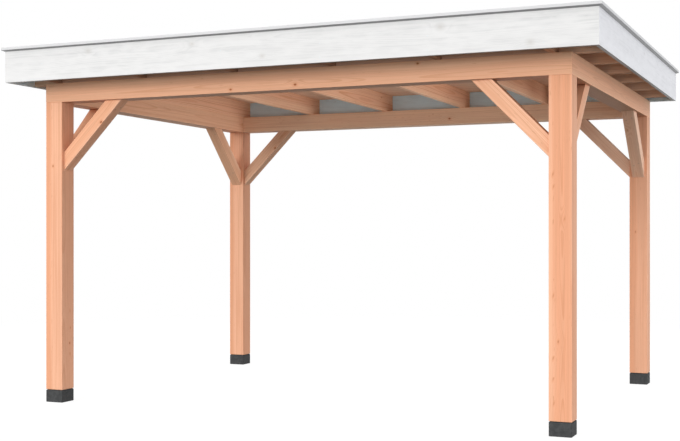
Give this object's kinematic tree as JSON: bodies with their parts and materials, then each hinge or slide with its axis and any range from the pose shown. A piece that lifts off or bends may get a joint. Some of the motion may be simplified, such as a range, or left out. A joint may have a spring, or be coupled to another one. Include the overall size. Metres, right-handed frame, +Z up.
{
  "type": "flat-roofed timber patio cover",
  "caption": "Open timber patio cover with a flat roof on square posts with stone feet, knee braces, beams and rafters, white fascias and a metal roof edge trim.",
  "frame": {"origin": "on the ground, under the middle of the roof's outline", "axes": "+X to the right along the long side, +Y from the front to the back, +Z up"},
  "size_m": [4.544, 3.347, 2.706],
  "materials": {
    "post_timber": "planed softwood, dry and unpainted, with upright grain and small knots",
    "beam_timber": "planed softwood, dry and unpainted, with long grain and small knots",
    "brace_timber": "planed softwood, dry and unpainted",
    "rafter_timber": "planed softwood, dry and unpainted",
    "deck_timber": "planed tongued boards, dry and unpainted",
    "white_paint": "timber boards under a thin matt white paint that lets the grain show",
    "foot_stone": "dark grey sawn stone, matt and faintly mottled",
    "membrane": "matt black rubber sheet",
    "trim_metal": "satin grey metal edge trim"
  },
  "bodies": {
    "root": {"foot_front_left": "foot_stone", "foot_front_right": "foot_stone", "foot_back_left": "foot_stone", "foot_back_right": "foot_stone", "post_front_left": "post_timber", "post_front_right": "post_timber", "post_back_left": "post_timber", "post_back_right": "post_timber", "beam_front": "beam_timber", "beam_back": "beam_timber", "beam_left": "beam_timber", "beam_right": "beam_timber", "brace_front_left": "brace_timber", "brace_front_right": "brace_timber", "brace_back_left": "brace_timber", "brace_back_right": "brace_timber", "brace_left_front": "brace_timber", "brace_left_back": "brace_timber", "brace_right_front": "brace_timber", "brace_right_back": "brace_timber", "rafter_1": "rafter_timber", "rafter_2": "rafter_timber", "rafter_3": "rafter_timber", "rafter_4": "rafter_timber", "rafter_5": "rafter_timber", "rafter_6": "rafter_timber", "lookouts_left": "rafter_timber", "lookouts_right": "rafter_timber", "roof_deck": "deck_timber", "roof_membrane": "membrane", "fascia_front": "white_paint", "fascia_back": "white_paint", "fascia_left": "white_paint", "fascia_right": "white_paint", "trim_front": "trim_metal", "trim_back": "trim_metal", "trim_left": "trim_metal", "trim_right": "trim_metal", "trim_top_front": "trim_metal", "trim_top_back": "trim_metal", "trim_top_left": "trim_metal", "trim_top_right": "trim_metal"}
  },
  "joints": []
}
